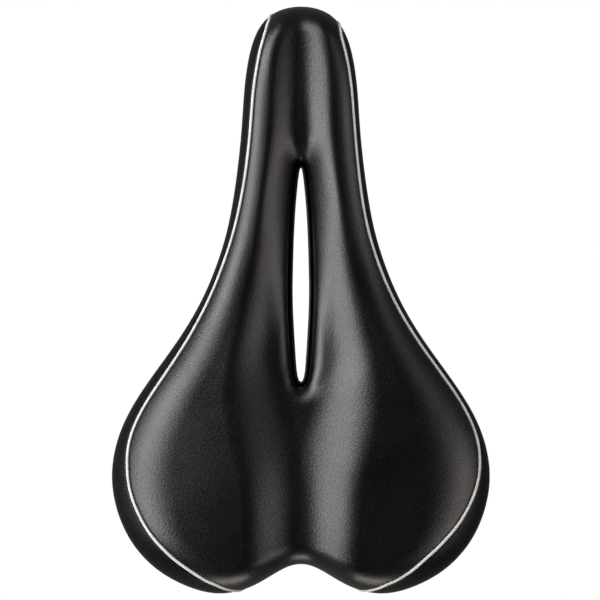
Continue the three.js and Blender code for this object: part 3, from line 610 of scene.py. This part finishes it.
def tube_loops(path, normals, radius, sides):
    """Round section loops along a path, with their first point towards the given normals."""
    along = np.gradient(path, axis=0)
    along /= np.linalg.norm(along, axis=1)[:, None]
    across = np.cross(along, normals)
    across /= np.linalg.norm(across, axis=1)[:, None]
    up = np.cross(across, along)
    angle = np.linspace(0, 2 * np.pi, sides, endpoint=False)
    ring = np.cos(angle)[None, :, None] * up[:, None] + np.sin(angle)[None, :, None] * across[:, None]
    return path[:, None] + ring * radius


def piping(side):
    """The round bead that stands in a seam."""
    seam, start = COVERS[side].seam, COVERS[side].start
    path, u = seam_path(seam, start, SEAM_END, PIPING_PITCH)
    step = 1e-3
    along = cover_point(u + step, seam(u)) - cover_point(u - step, seam(u))
    down = cover_point(u, seam(u) + step) - cover_point(u, seam(u) - step)
    normals = np.cross(along, down)
    normals /= np.linalg.norm(normals, axis=1)[:, None]
    loops = tube_loops(path - normals * PIPING_SINK, normals, PIPING_RADIUS, 14)
    return bar_piece(f"piping_bead_{side}", loops, side == "left")


# ---------- inner pieces ----------
COARSE = np.linspace(0, 1, 170)  # u of the rows of the pieces under the cover
FOAM_LEAST = 0.8  # the foam's least thickness at its edges


def on_shell(xy, dz):
    """Points dz above the base shell's top face."""
    q, u = edge_distance(xy)
    return with_height(xy, shell_top(xy[..., 1], q, u) + dz)


def shell_run(u, dz, slot_extra):
    """Rows of points dz above the base shell, from its rim in to the slot."""
    point, inward = outline_at(u)
    rows = [
        with_height(point + inward * q, shell_top(point[:, 1] + inward[:, 1] * q, q, u) + dz)
        for q in (SHELL_INSET, SHELL_INSET + 3.5, SHELL_INSET + 9)
    ]
    slot = slot_point(slot_share(u), np.full_like(u, SLOT_GAP + slot_extra))
    start = rows[-1][:, :2]
    for t in (0.35, 0.7, 1):
        rows.append(on_shell(start + (slot - start) * t, dz))
    return np.stack(rows, 1)


def foam():
    """The foam between the cover and the base shell."""
    v = np.concatenate([np.linspace(0.12, 1, 8), np.linspace(1, 2, 22)[1:], np.linspace(2, 3.4, 14)[1:]])
    outer = cover_point(COARSE[:, None], v[None, :])
    outer -= grid_normals(outer) * (THICK + FOAM_GAP)
    floor = shell_run(COARSE, GAP, 0.2)
    outer[:, -1, 2] = np.maximum(outer[:, -1, 2], floor[:, 0, 2] + FOAM_LEAST)
    outer[:, 0, 2] = np.maximum(outer[:, 0, 2], floor[:, -1, 2] + FOAM_LEAST)
    return ring_piece("foam_core", np.concatenate([outer, floor], 1))


def slot_lining():
    """The moulding that lines the slot in the base shell and has a flange under it."""
    share = slot_share(COARSE)

    def line(e, up):
        return on_shell(slot_point(share, np.full_like(share, e)), up - SHELL_THICK)

    top, wall, flange = -GAP, TRIM["wall"], TRIM["flange"]
    sections = np.stack([
        line(0.25, top - TRIM["thick"]), line(0, top - TRIM["thick"] + 0.3), line(0, TRIM["up"] - 0.3),
        line(0.3, TRIM["up"]), line(wall - 0.2, TRIM["up"]), line(wall, TRIM["up"] - 0.3),
        line(wall, top), line(flange, top), line(flange, top - 0.8), line(flange - 0.8, top - TRIM["thick"]),
    ], 1)
    return ring_piece("slot_lining", sections)


GEL_SPREAD, GEL_SLOPE, GEL_SINK = 0.985, 1.25, 0.4  # share of full size, allowance for slopes, depth in foam


def gel(mirror):
    """A pad of gel that follows the saddle's top, thinning to a rounded rim."""
    rings, sides = 16, 72
    angle = np.linspace(0, 2 * np.pi, sides, endpoint=False)
    share = np.linspace(0, 1, rings)[1:]
    x = GEL["x"] + share[:, None] * GEL["half_wide"] * GEL_SPREAD * np.cos(angle)
    y = CLAMP_S - GEL["s"] + share[:, None] * GEL["half_long"] * GEL_SPREAD * np.sin(angle)
    xy = np.stack([x, y], -1)
    top = cover_top(xy, *edge_distance(xy)) - (THICK + FOAM_GAP) * GEL_SLOPE - GEL_SINK
    depth = (GEL["thick"] - 1) * (1 - 0.8 * share**6)[:, None]
    upper = with_height(xy, top - 0.6 * share[:, None] ** 8)
    lower = with_height(xy, top - depth)
    loops = np.concatenate([upper, lower[::-1]])
    side = "left" if mirror else "right"
    return bar_piece(f"gel_pillow_{side}", loops, mirror)


def rounded_path(turns, corner, steps):
    """The straight runs between the turning points, with each corner rounded off."""
    turns = np.array(turns, float)
    path = [turns[0]]
    for before, turn, after in zip(turns, turns[1:], turns[2:]):
        a = turn + (before - turn) / np.linalg.norm(before - turn) * corner
        b = turn + (after - turn) / np.linalg.norm(after - turn) * corner
        t = np.linspace(0, 1, steps)[:, None]
        path.extend((1 - t) ** 2 * a + 2 * t * (1 - t) * turn + t * t * b)
    path.append(turns[-1])
    return np.array(path)


def rail(mirror):
    """One rail: from the nose, down and out to the clamp zone, and up to the rear."""
    half = RAIL_GAUGE / 2
    turns = [(8.5, 110, 24.5), (8.5, 90, 24.5), (half, 45, 0), (half, -45, 0), (38, -76, 33), (38, -95, 33)]
    path = rounded_path(turns, RAIL_CORNER, 14)
    loops = tube_loops(path, np.broadcast_to((0, 0, 1.0), path.shape), RAIL_RADIUS, 40)
    side = "left" if mirror else "right"
    return bar_piece(f"rail_rod_{side}", loops, mirror)


# ---------- materials ----------
class Nodes:
    """A material's node tree with short calls for what the materials below need."""

    def __init__(self, name):
        self.material = bpy.data.materials.new(name)
        self.material.use_nodes = True
        self.tree = self.material.node_tree
        self.shader = self.tree.nodes["Principled BSDF"]
        self.place = self.add("ShaderNodeTexCoord").outputs["Object"]

    def add(self, kind, settings=(), **inputs):
        node = self.tree.nodes.new(kind)
        for key, value in dict(settings).items():
            setattr(node, key, value)
        for key, value in inputs.items():
            self.feed(node.inputs[key.replace("_", " ")], value)
        return node

    def feed(self, socket, value):
        if isinstance(value, bpy.types.NodeSocket):
            self.tree.links.new(value, socket)
        else:
            socket.default_value = value

    def noise(self, scale, detail=2.0, roughness=0.5, vector=None):
        node = self.add("ShaderNodeTexNoise", Scale=scale, Detail=detail, Roughness=roughness)
        self.feed(node.inputs["Vector"], vector or self.place)
        return node.outputs["Fac"]

    def cells(self, scale, feature="F1", vector=None):
        node = self.add("ShaderNodeTexVoronoi", {"feature": feature}, Scale=scale)
        self.feed(node.inputs["Vector"], vector or self.place)
        return node.outputs["Distance"]

    def math(self, operation, a, b=0.0):
        node = self.add("ShaderNodeMath", {"operation": operation})
        self.feed(node.inputs[0], a)
        self.feed(node.inputs[1], b)
        return node.outputs[0]

    def span(self, value, low, high, to_low, to_high):
        node = self.add("ShaderNodeMapRange")
        for key, number in zip(("From Min", "From Max", "To Min", "To Max"), (low, high, to_low, to_high)):
            node.inputs[key].default_value = number
        self.feed(node.inputs["Value"], value)
        return node.outputs["Result"]

    def ramp(self, value, stops):
        node = self.add("ShaderNodeValToRGB")
        elements = node.color_ramp.elements
        while len(elements) < len(stops):
            elements.new(0.5)
        for element, (at, colour) in zip(elements, stops):
            element.position, element.color = at, (*colour, 1)
        self.feed(node.inputs["Fac"], value)
        return node.outputs["Color"]

    def stretched(self, x, y, z):
        node = self.add("ShaderNodeMapping")
        node.inputs["Scale"].default_value = (x, y, z)
        self.feed(node.inputs["Vector"], self.place)
        return node.outputs["Vector"]

    def bump(self, height, distance, strength):
        node = self.add("ShaderNodeBump", Strength=strength, Distance=distance)
        self.feed(node.inputs["Height"], height)
        return node.outputs["Normal"]

    def finish(self, colour, roughness, normal=None, **fixed):
        self.feed(self.shader.inputs["Base Color"], colour)
        self.feed(self.shader.inputs["Roughness"], roughness)
        if normal is not None:
            self.feed(self.shader.inputs["Normal"], normal)
        for key, value in fixed.items():
            self.shader.inputs[key.replace("_", " ")].default_value = value
        return self.material


def leather(name, tint, rough, ior):
    """Fine-grained leather: pebbles under 1 mm, with creases between groups of them."""
    n = Nodes(name)
    wander = n.add("ShaderNodeVectorMath", {"operation": "MULTIPLY_ADD"})
    n.feed(wander.inputs[0], n.add("ShaderNodeTexNoise", Scale=700, Detail=2).outputs["Color"])
    wander.inputs[1].default_value = (0.0005, 0.0005, 0.0005)
    n.feed(wander.inputs[2], n.place)
    bent = wander.outputs[0]
    pebbles = n.cells(1250, "SMOOTH_F1", vector=bent)
    pores = n.cells(3100, vector=bent)
    swell = n.noise(330, 2)
    grain = n.math("ADD", n.math("MULTIPLY", pebbles, -1.0), n.math("MULTIPLY", pores, 0.3))
    grain = n.math("ADD", grain, n.math("MULTIPLY", swell, 0.4))
    broad = n.noise(26, 3, 0.55)
    colour = n.ramp(broad, [(0.35, tuple(c * 0.8 for c in tint)), (0.65, tuple(c * 1.2 for c in tint))])
    patchy = n.span(broad, 0.3, 0.7, rough - 0.03, rough + 0.03)
    roughness = n.math("ADD", patchy, n.span(pebbles, 0.2, 0.8, -0.03, 0.05))
    normal = n.bump(grain, 0.000085, 0.6)
    return n.finish(colour, roughness, normal, IOR=ior, Specular_IOR_Level=0.5)


def plastic(name, tint, rough, texture=1800):
    """Moulded plastic with a fine spark-eroded texture."""
    n = Nodes(name)
    pits = n.noise(texture, 3, 0.6)
    broad = n.noise(18, 3)
    colour = n.ramp(broad, [(0.3, tuple(c * 0.8 for c in tint)), (0.7, tuple(c * 1.25 for c in tint))])
    patchy = n.span(broad, 0.3, 0.7, rough - 0.06, rough + 0.06)
    roughness = n.math("ADD", patchy, n.span(pits, 0.3, 0.7, -0.04, 0.04))
    return n.finish(colour, roughness, n.bump(pits, 0.00008, 0.6), IOR=1.45)


def bead_material():
    """Grey vinyl with a little soot on it."""
    n = Nodes("piping_vinyl")
    soot = n.noise(160, 4, 0.6)
    fine = n.noise(2400, 2)
    colour = n.ramp(soot, [(0.3, (0.40, 0.40, 0.385)), (0.55, (0.5, 0.5, 0.48)), (0.8, (0.54, 0.54, 0.52))])
    return n.finish(colour, n.span(soot, 0.3, 0.7, 0.3, 0.45), n.bump(fine, 0.00003, 0.5), IOR=1.45)


def foam_material():
    """Dark foam with the small cells of its skin."""
    n = Nodes("foam_skin")
    cells = n.cells(900, "F1")
    skin = n.noise(120, 4)
    colour = n.ramp(skin, [(0.3, (0.035, 0.035, 0.037)), (0.7, (0.06, 0.06, 0.063))])
    return n.finish(colour, n.span(cells, 0, 0.8, 0.85, 1.0), n.bump(cells, 0.0003, 0.8))


def gel_material():
    """Cloudy blue gel."""
    n = Nodes("gel_blue")
    cloud = n.noise(60, 3)
    colour = n.ramp(cloud, [(0.3, (0.09, 0.19, 0.36)), (0.7, (0.16, 0.29, 0.48))])
    skin = n.noise(700, 2)
    return n.finish(colour, n.span(skin, 0.3, 0.7, 0.18, 0.32), n.bump(skin, 0.00005, 0.5), IOR=1.4)


def metal(name, tint, rough, stretch):
    """Bare or plated metal, with fine marks, longest along the axis of the smallest stretch."""
    n = Nodes(name)
    lines = n.noise(1.0, 3, 0.6, n.stretched(*stretch))
    haze = n.noise(45, 3)
    colour = n.ramp(haze, [(0.3, tuple(c * 0.88 for c in tint)), (0.7, tint)])
    patchy = n.span(haze, 0.3, 0.7, rough - 0.05, rough + 0.06)
    roughness = n.math("ADD", patchy, n.span(lines, 0.3, 0.7, -0.05, 0.05))
    return n.finish(colour, roughness, n.bump(lines, 0.00002, 0.6), Metallic=1.0)


# painted light: the floor's glow, a pool of light that is strongest in the middle
GLOW, GLOW_INNER, GLOW_OUTER = 0.78, 0.5, 0.9  # strength, and the metres between which it fades out


def floor_material():
    """A pale floor with a glowing middle: a painted pool of light under the object, like a lit table."""
    n = Nodes("studio_floor")
    speck = n.noise(300, 2)
    colour = n.ramp(speck, [(0.3, (0.59, 0.59, 0.59)), (0.7, (0.61, 0.61, 0.61))])
    away = n.add("ShaderNodeVectorMath", {"operation": "LENGTH"})
    n.feed(away.inputs[0], n.place)
    # painted pool of light: the emission is full out to GLOW_INNER and fades to none at GLOW_OUTER
    glow = n.span(away.outputs["Value"], GLOW_INNER, GLOW_OUTER, GLOW, 0.0)
    n.shader.inputs["Emission Color"].default_value = (1, 1, 1, 1)
    n.feed(n.shader.inputs["Emission Strength"], glow)
    return n.finish(colour, 0.9, None, Specular_IOR_Level=0.0)


def dress(piece, material):
    """Give a piece its only material."""
    piece.data.materials.clear()
    piece.data.materials.append(material)


def refine(node, material, bevel):
    """A CAD node kept as it is, with softened edges and its own finish."""
    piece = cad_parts[node]
    dress(piece, material)
    piece.data.shade_smooth()
    weld = piece.modifiers.new("weld", "WELD")
    weld.merge_threshold = 2e-6
    if bevel:
        edge = piece.modifiers.new("edges", "BEVEL")
        edge.width, edge.segments, edge.limit_method = bevel, 2, "ANGLE"
        edge.angle_limit, edge.use_clamp_overlap = math.radians(40), True
    split = piece.modifiers.new("split", "EDGE_SPLIT")
    split.split_angle = math.radians(35)


top_leather = leather("leather_top", (0.0012, 0.0011, 0.0014), 0.33, 1.42)
side_leather = leather("leather_side", (0.0012, 0.0012, 0.0017), 0.4, 1.24)
bead = bead_material()
shell_plastic = plastic("shell_nylon", (0.035, 0.035, 0.037), 0.45)
cap_plastic = plastic("cap_nylon", (0.028, 0.028, 0.03), 0.42, 2600)
lining_plastic = plastic("lining_nylon", (0.006, 0.006, 0.006), 0.6)
rod_steel = metal("rod_steel", (0.47, 0.48, 0.49), 0.3, (900, 60, 900))
zinc = metal("screw_zinc", (0.5, 0.5, 0.48), 0.34, (700, 700, 700))

cover = ring_piece("cover_top", top_half(COVERS["right"]), top_half(COVERS["left"]))
dress(cover, top_leather)
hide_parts("cover_top_panel")
for mirror, side in ((False, "right"), (True, "left")):
    panel = side_panel(side)
    dress(panel, side_leather)
    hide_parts(f"cover_side_panel_{side}")
    cord = piping(side)
    dress(cord, bead)
    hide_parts(f"piping_{side}")
    pillow = gel(mirror)
    dress(pillow, gel_material())
    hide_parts(f"gel_pad_{side}")
    rod = rail(mirror)
    dress(rod, rod_steel)
    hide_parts(f"rail_{side}")

core = foam()
dress(core, foam_material())
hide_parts("foam_pad")
lining = slot_lining()
dress(lining, lining_plastic)
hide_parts("slot_trim")

refine("base_shell", shell_plastic, 0.0)
for node in ("nose_clamp_cap", "rear_clamp_cap_left", "rear_clamp_cap_right"):
    refine(node, cap_plastic, 0.0005)
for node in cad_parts:
    if "screw" in node:
        refine(node, zinc, 0.0)

# ---------- stage ----------
scene = bpy.context.scene
scene.view_settings.view_transform = "Standard"

FLOOR_Z, FLOOR_HALF = -2.2, 1.3
floor_mesh = bpy.data.meshes.new("floor")
corners = [(x * FLOOR_HALF, y * FLOOR_HALF, 0) for x, y in ((-1, -1), (1, -1), (1, 1), (-1, 1))]
floor_mesh.from_pydata(corners, [], [(0, 1, 2, 3)])
floor = bpy.data.objects.new("floor", floor_mesh)
floor.location.z = FLOOR_Z
scene.collection.objects.link(floor)
floor_mesh.materials.append(floor_material())

world = bpy.data.worlds.new("studio")
scene.world = world
world.use_nodes = True
tree = world.node_tree
place = tree.nodes.new("ShaderNodeTexCoord")
split = tree.nodes.new("ShaderNodeSeparateXYZ")
tree.links.new(place.outputs["Generated"], split.inputs[0])


def fade(axis, start, end, first, last):
    """A brightness that changes from first to last along one axis of the sky."""
    node = tree.nodes.new("ShaderNodeMapRange")
    for key, value in zip(("From Min", "From Max", "To Min", "To Max"), (start, end, first, last)):
        node.inputs[key].default_value = value
    tree.links.new(split.outputs[axis], node.inputs["Value"])
    return node.outputs["Result"]


strength = tree.nodes.new("ShaderNodeMath")
strength.operation = "MULTIPLY"
tree.links.new(fade("X", -0.8, 0.8, 0.34, 0.18), strength.inputs[0])
tree.links.new(fade("Z", 0.15, 0.5, 1.0, 0.08), strength.inputs[1])
tree.links.new(strength.outputs[0], tree.nodes["Background"].inputs["Strength"])
tree.nodes["Background"].inputs["Color"].default_value = (0.97, 0.98, 1, 1)


CENTRE = (0, 0.0142, 0.042)  # what the lamps are turned to and the camera looks down on


def softbox(name, place, size, power, colour):
    """A rectangular lamp at a place, turned towards the object."""
    data = bpy.data.lights.new(name, "AREA")
    data.shape, data.size, data.size_y = "RECTANGLE", *size
    data.energy, data.color = power, colour
    light = bpy.data.objects.new(name, data)
    light.location = place
    light.rotation_euler = (Vector(CENTRE) - Vector(place)).to_track_quat("-Z", "Y").to_euler()
    scene.collection.objects.link(light)


softbox("left_box", (-0.95, 0.11, 0.71), (1.26, 0.48), 24, (1.0, 0.985, 0.98))
softbox("front_left_box", (-0.52, 0.74, 0.86), (0.75, 0.46), 9, (1.0, 0.985, 0.98))
softbox("right_box", (0.95, -0.18, 0.56), (1.05, 0.44), 6.3, (1.0, 0.93, 0.9))
softbox("front_right_box", (0.75, 0.6, 0.66), (0.5, 0.4), 0.8, (1.0, 0.95, 0.93))
softbox("rear_box", (0, -1.05, 0.17), (0.6, 0.26), 4.5, (1.0, 0.93, 0.82))

CAMERA_FAR = 1.6
CAMERA_ASIDE = (-0.0004, -0.0003)  # the photograph's framing
SENSOR = 36
VIEW_WIDTH = 0.2776  # metres across the picture at CENTRE
camera_data = bpy.data.cameras.new("camera")
camera_data.sensor_width = SENSOR
camera_data.lens = SENSOR * CAMERA_FAR / VIEW_WIDTH
camera = bpy.data.objects.new("camera", camera_data)
camera.location = Vector(CENTRE) + Vector((*CAMERA_ASIDE, CAMERA_FAR))
scene.collection.objects.link(camera)
scene.camera = camera
